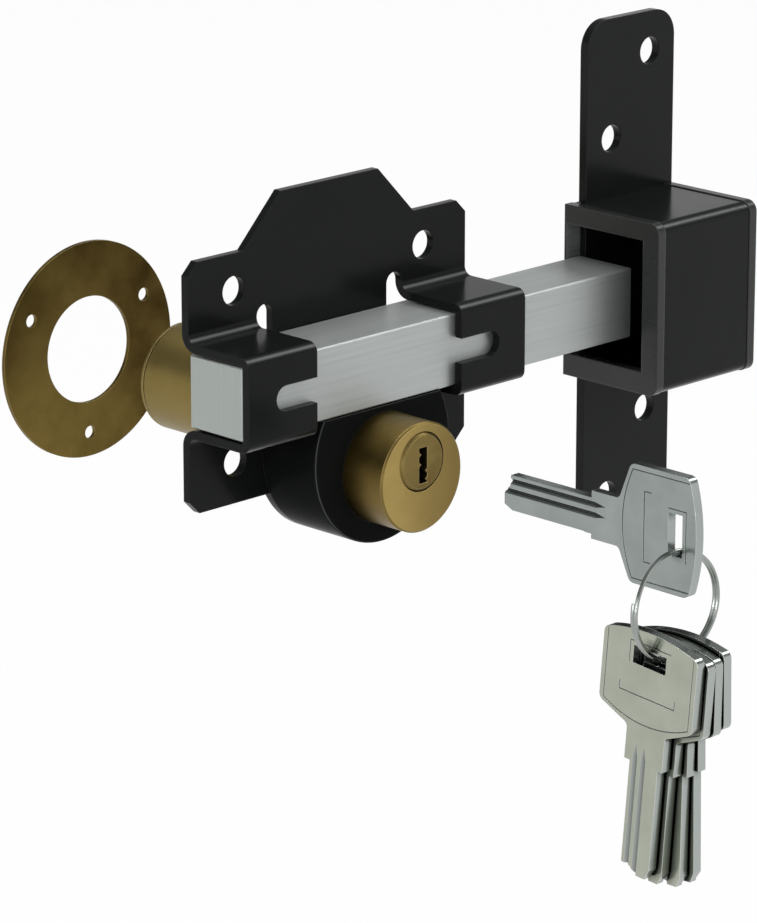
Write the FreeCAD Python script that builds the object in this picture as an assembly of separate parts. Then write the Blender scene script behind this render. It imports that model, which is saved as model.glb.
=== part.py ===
import FreeCAD, Part
import math
import os
from FreeCAD import Vector

# Long throw rim lock for a gate: mounting plate with two pressed bridges, square bolt,
# round gear casing, two eccentric cylinders, keep with a boxed mouth, escutcheon and keys.
# X runs along the bolt towards the keep, +Y goes into the gate, +Z is up.
# The origin is the middle of the four gate fixing holes, on the back face of the plate.

# Mounting plate
sheet_t = 2.4
plate_w = 104.0
lobe_top_z = 33.6
lobe_bottom_z = -35.0
lobe_chamfer = 3.5
crown_foot_w = 63.6
crown_top_w = 36.4
crown_top_z = 47.6
fix_spacing_x = 71.0
fix_spacing_z = 47.0
fix_hole_d = 8.0

# Pressed bridges and the relief slots beside them
bridge_w = 24.8
rear_bend_r = 2.4
front_bend_r = 0.4
relief_w = 5.8
relief_past_bend = 3.2
finger_slot_h = 7.0
finger_slot_len = 14.8

# Bolt
bolt_side = 20.0
bolt_len = 150.0
bolt_z = -0.7
bolt_tail_inset = 0.2
bolt_edge = 0.4
bolt_gap_y = 0.3
bolt_gap_z = 0.5
turns_per_throw = 1.0

# Gear train
gear_module = 1.25
pinion_teeth = 12
idler_teeth = 10
rack_gaps = 16
pressure_angle = 25.0
addendum_share = 0.85
dedendum_share = 1.1
tooth_backlash = 0.12
gear_t = 2.9
gear_gap_y = 0.4
hub_d = 9.0
hub_gap = 0.1
rack_side_gap = 0.4
stud_d = 5.0
stud_head_d = 7.6
stud_head_t = 0.7
stud_gap = 0.06
stud_rivet_d = 4.0

# Casing
axis_z = -23.6
casing_lip = 10.2
casing_wall = 2.2
casing_front_t = 2.2
casing_edge_r = 0.7
casing_top_gap = 0.3
boss_r = 2.6
boss_in_wall = 0.6
boss_angles = (197.0, 226.0, 314.0, 343.0)

# Cylinders, plugs and keyway
cylinder_r = 15.2
front_ecc = 4.4
rear_ecc = 5.3
front_face_y = -37.2
rear_face_y = 57.6
front_body_rear_y = -7.0
face_chamfer = 0.5
plug_r = 8.2
plug_gap = 0.05
plug_proud = 0.5
plug_chamfer = 0.9
plug_tail = 1.2
keyway_depth = 30.9
keyway_gap = 0.15
casing_hole_gap = 0.1
tang_w = 7.6
tang_t = 3.0
tang_len = 1.4
tang_gap = 0.1
tail_w = 7.0
tail_t = 2.4
spigot_r = 6.2
spigot_len = 4.2
clip_t = 0.7
clip_groove = 0.7
clip_rim = 0.7
clip_gap = 0.1
end_groove_at = 1.4
end_groove_w = 0.35
end_groove_deep = 0.6

# Pin stacks
pin_count = 5
pin_d = 2.9
pin_bore_gap = 0.1
pin_pitch = 4.2
first_pin_at = 5.2
driver_len = 4.2
pin_tip = 0.7
shear_gap = 0.12
chamber_floor = 1.6

# Screws and pins of the lock
casing_screw_d = 3.0
casing_screw_len = 9.0
cylinder_screw_d = 4.0
screw_thread_len = 8.0
screw_head_ratio = 1.8
screw_slot_w = 0.8
screw_seat_gap = 0.05
front_screw_x = 7.5
front_screw_drop = 12.6
rear_screw_x = 7.5
rear_screw_rise = 12.2
spacer_wall = 1.4
stop_pin_d = 4.0
stop_pin_reach = 2.6
stop_pin_rise = 3.0
stop_gap = 0.3

# Escutcheon, standing apart behind the lock
escutcheon_y = 95.7
escutcheon_t = 1.2
escutcheon_r = 31.45
escutcheon_bore_gap = 0.3
escutcheon_pcd = 49.0
escutcheon_hole_d = 3.8
escutcheon_holes = 3

# Keep
strap_set_back = 5.8
end_set_back = 0.6
keep_w = 36.0
keep_len = 151.0
keep_t = 2.8
keep_corner_r = 8.0
keep_hole_d = 8.0
keep_hole_dx = 7.8
keep_outer_hole_z = 64.0
keep_inner_hole_z = 41.0
box_front_y = -35.4
box_h = 49.2
box_z = -0.5
box_sheet_t = 2.0
box_bend_r = 3.0
bolt_in_mouth = 3.4
cap_t = 2.9
end_cap_t = 2.8
cap_proud = 0.25
cap_skirt_t = 1.6
cap_skirt_len = 4.0
cap_fit = 0.1
mouth_h = 37.8
mouth_front_border = 5.9
mouth_rear_border = 0.8

# Keys
key_t = 2.8
key_tip_y = -69.0
key_drop = 0.4
blade_len = 30.8
blade_top = 4.3
blade_bottom = -5.3
tip_low = -4.0
tip_step = -0.5
tip_slope_top = 1.3
tip_slope_len = 2.0
tip_slope_run = 0.3
tip_chamfer_len = 2.8
shoulder_top = 6.2
shoulder_bottom = -6.8
bow_start = 40.3
bow_corner_u = 44.3
bow_end_u = 64.2
key_len = 66.8
bow_half = 15.95
bow_mid = 0.5
bow_corner_r = 2.2
neck_r = 1.6
bow_hole_u = 57.3
bow_hole_w = 4.8
bow_hole_len = 11.2
groove_near = (2.6, -0.2)
groove_far = (-2.1, -4.4)
groove_half = 0.8
groove_deep = 0.8
groove_end_u = 36.0
groove_run_out = 4.0
border_inset = 1.4
border_run_in = 0.7
border_belly_u = 41.6
corner_gap = 1.2
panel_u = 49.0
panel_w = 2.2
panel_len = 18.8
engrave_w = 0.3
engrave_deep = 0.15

# Split ring and the hanging keys
ring_mean_r = 14.3
ring_wire_radial = 1.2
ring_wire_axial = 1.0
ring_turn_gap = 0.1
ring_edge = 0.3
ring_x = -1.9
ring_turn = 5.0
ring_seat_gap = 0.45
ring_side_gap = 0.4
ring_end_angle = 167.0
ring_step_angle = 67.0
spare_pitch = 3.3
spare_first_x = -8.5
spare_seat_gap = 0.4
spare_offsets_y = (0.8, -0.1, 0.2, 0.3)
spare_tilts = (5.0, 4.4, 0.7, -1.2)

# Places worked out from the sizes above
plate_front_y = -sheet_t
casing_r = cylinder_r + casing_lip
bolt_rear_y = plate_front_y - bolt_gap_y
bolt_front_y = bolt_rear_y - bolt_side
bolt_bottom = bolt_z - bolt_side / 2
bolt_tail_x = -plate_w / 2 + bolt_tail_inset
mouth_x = bolt_tail_x + bolt_len - bolt_in_mouth
keep_x = mouth_x + strap_set_back
bridge_front_y = bolt_front_y - bolt_gap_y - sheet_t
bridge_top = bolt_z + bolt_side / 2 + bolt_gap_z + sheet_t
bridge_bottom = bolt_bottom - bolt_gap_z - sheet_t
bridge_edge_x = plate_w / 2 - bridge_w
addendum = addendum_share * gear_module
dedendum = dedendum_share * gear_module
pinion_r = gear_module * pinion_teeth / 2
idler_r = gear_module * idler_teeth / 2
rack_pitch = math.pi * gear_module
rack_line_z = bolt_bottom + addendum
idler_z = rack_line_z - idler_r
idler_x = math.sqrt((pinion_r + idler_r) ** 2 - (idler_z - axis_z) ** 2)
bolt_travel = 2 * math.pi * pinion_r * turns_per_throw
gear_back_y = plate_front_y - gear_gap_y
gear_front_y = gear_back_y - gear_t
casing_front_y = bolt_front_y
casing_top_z = bolt_bottom - casing_top_gap
front_centre_z = axis_z - front_ecc
rear_centre_z = axis_z + rear_ecc
plug_rear_y = front_body_rear_y + plug_tail
rear_plug_inner_y = rear_face_y - (plug_rear_y - front_face_y)
spigot_y = rear_plug_inner_y - spigot_len
bore_r = plug_r + plug_gap
clip_r = plug_r + clip_rim
rear_cavity_r = clip_r + clip_gap * 2
key_z = axis_z - key_drop
ring_half_y = ring_wire_axial + ring_turn_gap / 2
key_ring_y = key_tip_y - bow_hole_u - bow_hole_w + ring_side_gap + ring_half_y
ring_inner_r = ring_mean_r - ring_wire_radial / 2
ring_reach = abs(ring_x) + key_t / 2
ring_top_z = key_z + bow_mid - bow_hole_len / 2 + ring_seat_gap
ring_z = ring_top_z - math.sqrt(ring_inner_r ** 2 - ring_reach ** 2)


def box(x0, x1, y0, y1, z0, z1):
    corner = Vector(min(x0, x1), min(y0, y1), min(z0, z1))
    return Part.makeBox(abs(x1 - x0), abs(y1 - y0), abs(z1 - z0), corner)


def disc(r, x, z, y0, y1):
    low = min(y0, y1)
    return Part.makeCylinder(r, abs(y1 - y0), Vector(x, low, z), Vector(0, 1, 0))


def cone(r0, r1, x, z, y0, y1):
    if y1 > y0:
        return Part.makeCone(r0, r1, y1 - y0, Vector(x, y0, z), Vector(0, 1, 0))
    return Part.makeCone(r0, r1, y0 - y1, Vector(x, y0, z), Vector(0, -1, 0))


def upright(r, x, y, z0, z1):
    return Part.makeCylinder(r, abs(z1 - z0), Vector(x, y, min(z0, z1)))


def outline_xz(points, y0, y1):
    wire = Part.makePolygon([Vector(x, y0, z) for x, z in points + points[:1]])
    return Part.Face(wire).extrude(Vector(0, y1 - y0, 0))


def rounded_wire(points, radii, place):
    """Closed wire through corner points, with each corner rounded by its own radius."""
    edges = []
    starts = []
    ends = []
    count = len(points)
    arcs = []
    for i in range(count):
        here = Vector(points[i][0], points[i][1], 0)
        back = (Vector(points[i - 1][0], points[i - 1][1], 0) - here).normalize()
        nxt = points[(i + 1) % count]
        ahead = (Vector(nxt[0], nxt[1], 0) - here).normalize()
        if radii[i] == 0:
            starts.append(here)
            ends.append(here)
            arcs.append(None)
            continue
        half = back.getAngle(ahead) / 2
        reach = radii[i] / math.tan(half)
        centre_line = (back + ahead).normalize()
        centre = here + centre_line * (radii[i] / math.sin(half))
        middle = centre - centre_line * radii[i]
        starts.append(here + back * reach)
        ends.append(here + ahead * reach)
        arcs.append(middle)
    for i in range(count):
        if arcs[i] is not None:
            edges.append(Part.Arc(place(starts[i]), place(arcs[i]), place(ends[i])).toShape())
        a = ends[i]
        b = starts[(i + 1) % count]
        if (a - b).Length > 1e-6:
            edges.append(Part.LineSegment(place(a), place(b)).toShape())
    return Part.Wire(edges)


def in_yz(x):
    return lambda p: Vector(x, p.x, p.y)


def in_xz(y):
    return lambda p: Vector(p.x, y, p.y)


def slot_xz(x0, x1, z0, z1, y0, y1):
    """A slot with full round ends, standing or lying, cut along Y."""
    r = min(x1 - x0, z1 - z0) / 2
    if z1 - z0 > x1 - x0:
        mid = (x0 + x1) / 2
        body = box(x0, x1, y0, y1, z0 + r, z1 - r)
        return body.fuse([disc(r, mid, z0 + r, y0, y1), disc(r, mid, z1 - r, y0, y1)])
    mid = (z0 + z1) / 2
    body = box(x0 + r, x1 - r, y0, y1, z0, z1)
    return body.fuse([disc(r, x0 + r, mid, y0, y1), disc(r, x1 - r, mid, y0, y1)])


def plate_outline():
    w = plate_w / 2
    c = lobe_chamfer
    foot = crown_foot_w / 2
    top = crown_top_w / 2
    right = [(w - c, lobe_bottom_z), (w, lobe_bottom_z + c), (w, lobe_top_z - c),
             (w - c, lobe_top_z), (foot, lobe_top_z), (top, crown_top_z)]
    left = [(-x, z) for x, z in reversed(right)]
    sheet = outline_xz(right + left, plate_front_y, 0)
    return sheet.fuse(disc(casing_r, 0, axis_z, plate_front_y, 0))


def bridge(x0, x1):
    """Sheet pressed forward over the bolt: two legs and a front, bent at four places."""
    top = bridge_top
    low = bridge_bottom
    start = top + rear_bend_r
    finish = low - rear_bend_r
    inner = front_bend_r
    outer = front_bend_r + sheet_t
    back = rear_bend_r + sheet_t
    f = bridge_front_y
    t = sheet_t
    points = [(-t, start), (-t, top), (f, top), (f, low), (-t, low), (-t, finish),
              (0, finish), (0, low + t), (f + t, low + t), (f + t, top - t), (0, top - t), (0, start)]
    radii = [0, rear_bend_r, outer, outer, rear_bend_r, 0,
             0, back, inner, inner, back, 0]
    wire = rounded_wire(points, radii, in_yz(x0))
    return Part.Face(wire).extrude(Vector(x1 - x0, 0, 0))


def lock_plate():
    plate = plate_outline()
    high = bridge_top + rear_bend_r
    low = bridge_bottom - rear_bend_r
    parts = []
    for side in (-1, 1):
        outer = side * plate_w / 2
        inner = side * bridge_edge_x
        plate = plate.cut(box(outer, inner, 1, plate_front_y - 1, low, high))
        x0, x1 = sorted((inner, inner - side * relief_w))
        slit = slot_xz(x0, x1, low - relief_past_bend, high + relief_past_bend, 1, plate_front_y - 1)
        plate = plate.cut(slit)
        leg = bridge(min(outer, inner), max(outer, inner))
        s0, s1 = sorted((inner + side * finger_slot_len, inner - side * finger_slot_h))
        finger = slot_xz(s0, s1, bolt_z - finger_slot_h / 2, bolt_z + finger_slot_h / 2,
                         bridge_front_y - 1, bridge_front_y + sheet_t + bolt_gap_y / 2)
        parts.append(leg.cut(finger))
    plate = plate.fuse(parts).removeSplitter()
    for sx in (-1, 1):
        for sz in (-1, 1):
            hole = disc(fix_hole_d / 2, sx * fix_spacing_x / 2, sz * fix_spacing_z / 2, 1, plate_front_y - 1)
            plate = plate.cut(hole)
    plate = plate.cut(disc(hub_d / 2 + hub_gap, 0, axis_z, 1, plate_front_y - 1))
    plate = plate.cut(disc(stop_pin_d / 2, 0, bolt_z + stop_pin_rise, 1, plate_front_y - 1))
    plate = plate.cut(disc(stud_rivet_d / 2, idler_x, idler_z, 1, plate_front_y - 1))
    for x, z in boss_places():
        plate = plate.cut(screw_hole(casing_screw_d, x, z, 0, -1))
    for sx in (-1, 1):
        plate = plate.cut(screw_hole(cylinder_screw_d, sx * front_screw_x, front_screw_z(), 0, -1))
        plate = plate.cut(screw_hole(cylinder_screw_d, sx * rear_screw_x, rear_screw_z(), plate_front_y, 1))
    return plate


def front_screw_z():
    return axis_z - front_screw_drop


def rear_screw_z():
    return axis_z + rear_screw_rise


def head_len(d):
    return (screw_head_ratio - 1) * d / 2


def screw_hole(d, x, z, face_y, way):
    """Countersunk clearance hole through the plate, its mouth at face_y."""
    gap = screw_seat_gap
    through = disc(d / 2 + gap, x, z, face_y - way, face_y + way * (sheet_t + 1))
    sink = cone(d * screw_head_ratio / 2 + gap, d / 2 + gap, x, z, face_y, face_y + way * head_len(d))
    return through.fuse(sink)


def screw(d, length, x, z, face_y, way):
    """Countersunk screw with a straight slot, its head flush with face_y."""
    shank = disc(d / 2, x, z, face_y, face_y + way * length)
    head = cone(d * screw_head_ratio / 2, d / 2, x, z, face_y, face_y + way * head_len(d))
    cut_y = face_y + way * head_len(d) / 2
    slot = box(x - d, x + d, face_y, cut_y, z - screw_slot_w / 2, z + screw_slot_w / 2)
    return head.fuse(shank).removeSplitter().cut(slot)


def boss_places():
    r = casing_r - casing_wall - boss_r + boss_in_wall
    turns = [math.radians(a) for a in boss_angles]
    return [(r * math.cos(a), axis_z + r * math.sin(a)) for a in turns]


def casing():
    shell = disc(casing_r, 0, axis_z, plate_front_y, casing_front_y)
    rim = [e for e in shell.Edges if abs(e.CenterOfMass.y - casing_front_y) < 1e-6]
    shell = shell.makeFillet(casing_edge_r, rim)
    hollow = disc(casing_r - casing_wall, 0, axis_z, plate_front_y + 1, casing_front_y + casing_front_t)
    shell = shell.cut(hollow)
    bosses = [disc(boss_r, x, z, plate_front_y, casing_front_y + casing_front_t) for x, z in boss_places()]
    shell = shell.fuse(bosses).removeSplitter()
    reach = casing_screw_len - sheet_t + 1
    for x, z in boss_places():
        shell = shell.cut(disc(casing_screw_d / 2, x, z, plate_front_y + 1, plate_front_y - reach))
    shell = shell.cut(disc(cylinder_r + casing_hole_gap, 0, front_centre_z, 0, casing_front_y - 1))
    top = box(-plate_w, plate_w, 1, casing_front_y - 1, casing_top_z, casing_top_z + casing_r)
    return shell.cut(top)


def involute_point(base_r, r, turn):
    angle = math.acos(min(1.0, base_r / r))
    spread = math.tan(angle) - angle
    return r, turn - spread


def gear(teeth, x, z, phase, y0, y1):
    """Spur gear whose first tooth points at the phase angle, in degrees from +X to +Z."""
    pitch = gear_module * teeth / 2
    base = pitch * math.cos(math.radians(pressure_angle))
    tip = pitch + addendum
    root = pitch - dedendum
    at_pitch = math.tan(math.radians(pressure_angle)) - math.radians(pressure_angle)
    half = (rack_pitch / 2 - tooth_backlash) / 2 / pitch + at_pitch
    steps = 3
    flank = []
    for i in range(steps + 1):
        r = base + (tip - base) * i / steps
        flank.append(involute_point(base, r, half))
    if root < base:
        flank.insert(0, (root, flank[0][1]))
    points = []
    for tooth in range(teeth):
        middle = math.radians(phase) + 2 * math.pi * tooth / teeth
        rising = [(r, middle - a) for r, a in flank]
        falling = [(r, middle + a) for r, a in reversed(flank)]
        for r, a in rising + falling:
            points.append((x + r * math.cos(a), z + r * math.sin(a)))
    return outline_xz(points, y0, y1)


def mesh_phases():
    """The idler points a tooth at the rack, and the pinion is turned to mesh with the idler."""
    line = math.degrees(math.atan2(idler_z - axis_z, idler_x))
    step = 360.0 / idler_teeth
    gap = 90.0 + step / 2
    turns = round((line + 180.0 - gap) / step)
    off = gap + turns * step - (line + 180.0)
    return 90.0, line - off * idler_teeth / pinion_teeth


def drive_gear():
    phase = mesh_phases()[1]
    wheel = gear(pinion_teeth, 0, axis_z, phase, gear_back_y, gear_front_y)
    hub = disc(hub_d / 2, 0, axis_z, 0, gear_back_y)
    wheel = wheel.fuse(hub).removeSplitter()
    w = tang_w / 2 + tang_gap
    t = tang_t / 2 + tang_gap
    return wheel.cut(box(-w, w, 1, gear_front_y - 1, axis_z - t, axis_z + t))


def idler_gear():
    phase = mesh_phases()[0]
    wheel = gear(idler_teeth, idler_x, idler_z, phase, gear_back_y, gear_front_y)
    return wheel.cut(disc(stud_d / 2 + stud_gap, idler_x, idler_z, 1, gear_front_y - 1))


def idler_stud():
    head_y = gear_front_y - stud_gap
    shank = disc(stud_d / 2, idler_x, idler_z, plate_front_y, head_y)
    head = disc(stud_head_d / 2, idler_x, idler_z, head_y, head_y - stud_head_t)
    tail = disc(stud_rivet_d / 2, idler_x, idler_z, 0, plate_front_y)
    return shank.fuse([head, tail]).removeSplitter()


def rack_gap(x):
    run = math.tan(math.radians(pressure_angle))
    half = rack_pitch / 4 + tooth_backlash / 2
    low = half + addendum * run
    high = half - dedendum * run
    depth = 1.0
    low_z = bolt_bottom - depth
    wide = low + depth * run
    top_z = rack_line_z + dedendum
    points = [(x - wide, low_z), (x + wide, low_z), (x + high, top_z), (x - high, top_z)]
    return outline_xz(points, bolt_rear_y + 1, gear_front_y - rack_side_gap)


def lock_bolt():
    bar = box(bolt_tail_x, bolt_tail_x + bolt_len, bolt_rear_y, bolt_front_y,
              bolt_bottom, bolt_bottom + bolt_side)
    bar = bar.makeChamfer(bolt_edge, bar.Edges)
    gaps = [rack_gap(idler_x + i * rack_pitch) for i in range(-1, rack_gaps - 1)]
    bar = bar.cut(gaps)
    low_x = -stop_pin_d / 2 - stop_gap
    high_x = bolt_travel + stop_pin_d / 2 + stop_gap
    mid = bolt_z + stop_pin_rise
    half = stop_pin_d / 2 + stop_gap
    groove = slot_xz(low_x, high_x, mid - half, mid + half,
                     bolt_rear_y + 1, plate_front_y - stop_pin_reach - stop_gap)
    return bar.cut(groove)


def stop_pin():
    return disc(stop_pin_d / 2, 0, bolt_z + stop_pin_rise, 0, plate_front_y - stop_pin_reach)


def turned_over(shape):
    """Turn a front cylinder's piece into the rear one: half a turn about the X direction."""
    done = shape.copy()
    done.rotate(Vector(0, front_face_y, axis_z), Vector(1, 0, 0), 180)
    done.translate(Vector(0, rear_face_y - front_face_y, 0))
    return done


def keyway_points(gap):
    """Cross-section of the blade in X and Z, grown by gap; the ribs match the key's grooves."""
    half = key_t / 2 + gap
    deep = groove_deep
    wide = groove_half
    near = [(-half, blade_top + gap)]
    for level in sorted(groove_near, reverse=True):
        near += [(-half, level + wide - gap), (-half + deep, level), (-half, level - wide + gap)]
    near.append((-half, blade_bottom - gap))
    far = [(half, blade_bottom - gap)]
    for level in sorted(groove_far):
        far += [(half, level - wide + gap), (half - deep, level), (half, level + wide - gap)]
    far.append((half, blade_top + gap))
    return [(x, key_z + level) for x, level in near + far]


def pin_places():
    return [front_face_y + first_pin_at + i * pin_pitch for i in range(pin_count)]


def plug():
    face_y = front_face_y - plug_proud
    rim_y = face_y + plug_chamfer
    barrel = disc(plug_r, 0, axis_z, rim_y, plug_rear_y)
    face = cone(plug_r, plug_r - plug_chamfer, 0, axis_z, rim_y, face_y)
    body = barrel.fuse(face).removeSplitter()
    body = body.cut(outline_xz(keyway_points(keyway_gap), face_y - 1, front_face_y + keyway_depth))
    floor_z = key_z + blade_bottom + keyway_gap
    for y in pin_places():
        body = body.cut(upright(pin_d / 2 + pin_bore_gap, 0, y, floor_z, axis_z - plug_r - 1))
    clip_y = front_body_rear_y + clip_gap
    ring = disc(plug_r + 1, 0, axis_z, clip_y, clip_y + clip_t + clip_gap)
    ring = ring.cut(disc(plug_r - clip_groove, 0, axis_z, clip_y, clip_y + clip_t + clip_gap))
    return body.cut(ring)


def plug_tang():
    return box(-tang_w / 2, tang_w / 2, plug_rear_y, plug_rear_y + tang_len,
               axis_z - tang_t / 2, axis_z + tang_t / 2)


def front_plug():
    return plug().fuse(plug_tang()).removeSplitter()


def rear_plug():
    spigot = disc(spigot_r, 0, axis_z, spigot_y, rear_plug_inner_y)
    body = turned_over(plug()).fuse(spigot).removeSplitter()
    w = tail_w / 2 + tang_gap
    t = tail_t / 2 + tang_gap
    return body.cut(box(-w, w, spigot_y - 1, rear_plug_inner_y, axis_z - t, axis_z + t))


def tail_bar():
    start = plug_rear_y + tang_len + tang_gap
    return box(-tail_w / 2, tail_w / 2, start, rear_plug_inner_y - tang_gap,
               axis_z - tail_t / 2, axis_z + tail_t / 2)


def plug_clip():
    y0 = front_body_rear_y + clip_gap
    ring = disc(clip_r, 0, axis_z, y0, y0 + clip_t)
    ring = ring.cut(disc(plug_r - clip_groove + plug_gap, 0, axis_z, y0 - 1, y0 + clip_t + 1))
    mouth = plug_r * 0.9
    return ring.cut(box(-mouth, mouth, y0 - 1, y0 + clip_t + 1, axis_z, axis_z + 2 * plug_r))


def pin_chambers():
    low = axis_z - front_ecc - cylinder_r + chamber_floor
    r = pin_d / 2 + pin_bore_gap
    return [upright(r, 0, y, low, axis_z - bore_r + 1) for y in pin_places()]


def cylinder_body(centre_z, rear_y):
    chamfer_y = front_face_y + face_chamfer
    body = disc(cylinder_r, 0, centre_z, chamfer_y, rear_y)
    body = body.fuse(cone(cylinder_r, cylinder_r - face_chamfer, 0, centre_z, chamfer_y, front_face_y))
    body = body.removeSplitter()
    return body.cut(disc(bore_r, 0, axis_z, front_face_y - 1, rear_y + 1))


def front_cylinder():
    body = cylinder_body(front_centre_z, front_body_rear_y)
    body = body.cut(pin_chambers())
    for sx in (-1, 1):
        hole = disc(cylinder_screw_d / 2, sx * front_screw_x, front_screw_z(),
                    front_body_rear_y + 1, front_body_rear_y - screw_thread_len)
        body = body.cut(hole)
    return body


def rear_cylinder():
    length_y = front_face_y + rear_face_y
    body = cylinder_body(axis_z - rear_ecc, length_y)
    low = axis_z - rear_ecc - cylinder_r + chamber_floor
    chambers = [upright(pin_d / 2 + pin_bore_gap, 0, y, low, axis_z - bore_r + 1) for y in pin_places()]
    body = body.cut(chambers)
    body = body.cut(disc(rear_cavity_r, 0, axis_z, front_body_rear_y, length_y + 1))
    groove_y = front_face_y + end_groove_at
    groove = disc(cylinder_r + 1, 0, axis_z - rear_ecc, groove_y, groove_y + end_groove_w)
    core = disc(cylinder_r - end_groove_deep, 0, axis_z - rear_ecc, groove_y, groove_y + end_groove_w)
    body = turned_over(body.cut(groove.cut(core)))
    for sx in (-1, 1):
        hole = disc(cylinder_screw_d / 2, sx * rear_screw_x, rear_screw_z(), -1, screw_thread_len)
        body = body.cut(hole)
    return body


def key_pins():
    top = key_z + blade_bottom - keyway_gap - shear_gap
    r = pin_d / 2
    bottom = axis_z - math.sqrt(plug_r ** 2 - r ** 2) + shear_gap / 4
    pins = []
    for y in pin_places():
        shank = upright(r, 0, y, bottom, top - pin_tip)
        point = Part.makeCone(r, r - pin_tip, pin_tip, Vector(0, y, top - pin_tip))
        pins.append(shank.fuse(point).removeSplitter())
    return Part.Compound(pins)


def driver_top():
    return axis_z - bore_r - shear_gap / 2


def driver_pins():
    top = driver_top()
    return Part.Compound([upright(pin_d / 2, 0, y, top - driver_len, top) for y in pin_places()])


def pin_springs(centre_z):
    top = driver_top() - driver_len
    low = centre_z - cylinder_r + chamber_floor
    return Part.Compound([upright(pin_d / 2, 0, y, low, top) for y in pin_places()])


def casing_screws():
    return Part.Compound([screw(casing_screw_d, casing_screw_len, x, z, 0, -1) for x, z in boss_places()])


def front_cylinder_screws():
    length = -front_body_rear_y + screw_thread_len - 1
    z = front_screw_z()
    return Part.Compound([screw(cylinder_screw_d, length, s * front_screw_x, z, 0, -1) for s in (-1, 1)])


def rear_cylinder_screws():
    length = sheet_t + screw_thread_len - 1
    z = rear_screw_z()
    return Part.Compound([screw(cylinder_screw_d, length, s * rear_screw_x, z, plate_front_y, 1)
                          for s in (-1, 1)])


def cylinder_spacers():
    rings = []
    for s in (-1, 1):
        x = s * front_screw_x
        ring = disc(cylinder_screw_d / 2 + spacer_wall, x, front_screw_z(), plate_front_y, front_body_rear_y)
        rings.append(ring.cut(disc(cylinder_screw_d / 2 + screw_seat_gap, x, front_screw_z(),
                                   1, front_body_rear_y - 1)))
    return Part.Compound(rings)


def escutcheon():
    y1 = escutcheon_y + escutcheon_t
    ring = disc(escutcheon_r, 0, rear_centre_z, escutcheon_y, y1)
    ring = ring.cut(disc(cylinder_r + escutcheon_bore_gap, 0, rear_centre_z, escutcheon_y - 1, y1 + 1))
    for i in range(escutcheon_holes):
        a = math.radians(-90 + i * 360 / escutcheon_holes)
        x = escutcheon_pcd / 2 * math.cos(a)
        z = rear_centre_z + escutcheon_pcd / 2 * math.sin(a)
        ring = ring.cut(disc(escutcheon_hole_d / 2, x, z, escutcheon_y - 1, y1 + 1))
    return ring


def keep_mid_x():
    return keep_x + keep_w / 2


def keep_strap():
    half = keep_len / 2
    points = [(keep_x, -half), (keep_x + keep_w, -half), (keep_x + keep_w, half), (keep_x, half)]
    wire = rounded_wire(points, [keep_corner_r] * 4, in_xz(-keep_t))
    strap = Part.Face(wire).extrude(Vector(0, keep_t, 0))
    mid = keep_mid_x()
    places = [(mid + keep_hole_dx, keep_outer_hole_z), (mid - keep_hole_dx, keep_inner_hole_z),
              (mid + keep_hole_dx, -keep_inner_hole_z), (mid - keep_hole_dx, -keep_outer_hole_z)]
    for x, z in places:
        strap = strap.cut(disc(keep_hole_d / 2, x, z, 1, -keep_t - 1))
    return strap


def channel_face(x, front, rear, half, r):
    """Closed outline of the box in Y and Z, with its two front corners rounded."""
    low = box_z - half
    high = box_z + half
    points = [(rear, low), (front, low), (front, high), (rear, high)]
    wire = rounded_wire(points, [0, r, r, 0], in_yz(x))
    return Part.Face(wire)


def box_x0():
    return mouth_x + cap_t


def box_x1():
    return keep_x + keep_w - end_set_back - end_cap_t


def keep_box():
    length = box_x1() - box_x0()
    half = box_h / 2
    t = box_sheet_t
    outer = channel_face(box_x0(), box_front_y, -keep_t, half, box_bend_r)
    inner = channel_face(box_x0(), box_front_y + t, 1, half - t, box_bend_r - t)
    return outer.extrude(Vector(length, 0, 0)).cut(inner.extrude(Vector(length, 0, 0)))


def cap_outline(x, t, rear_y):
    face = channel_face(x, box_front_y - cap_proud, rear_y, box_h / 2 + cap_proud, box_bend_r + cap_proud)
    return face.extrude(Vector(t, 0, 0))


def cap_skirt(x, length):
    """Three-sided skirt that plugs into the sheet box."""
    t = box_sheet_t + cap_fit
    s = cap_skirt_t
    half = box_h / 2 - t
    outer = channel_face(x, box_front_y + t, -keep_t - cap_fit, half, box_bend_r - box_sheet_t)
    inner = channel_face(x, box_front_y + t + s, 1, half - s, cap_fit)
    return outer.extrude(Vector(length, 0, 0)).cut(inner.extrude(Vector(length, 0, 0)))


def keep_mouth_cap():
    """Moulded frame round the mouth, with a thin rear wall that runs back to the strap's edge."""
    cap = cap_outline(mouth_x, cap_t, 0)
    cap = cap.fuse(cap_skirt(box_x0(), cap_skirt_len))
    half = box_h / 2
    rear = box(mouth_x, keep_x, -mouth_rear_border, 0, box_z - half, box_z + half)
    cap = cap.fuse(rear).removeSplitter()
    front = box_front_y - cap_proud + mouth_front_border
    window = box(mouth_x - 1, box_x0() + cap_skirt_len + 1, front, -mouth_rear_border,
                 -mouth_h / 2, mouth_h / 2)
    return cap.cut(window)


def keep_end_cap():
    cap = cap_outline(box_x1(), end_cap_t, -keep_t)
    return cap.fuse(cap_skirt(box_x1() - cap_skirt_len, cap_skirt_len)).removeSplitter()


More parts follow.
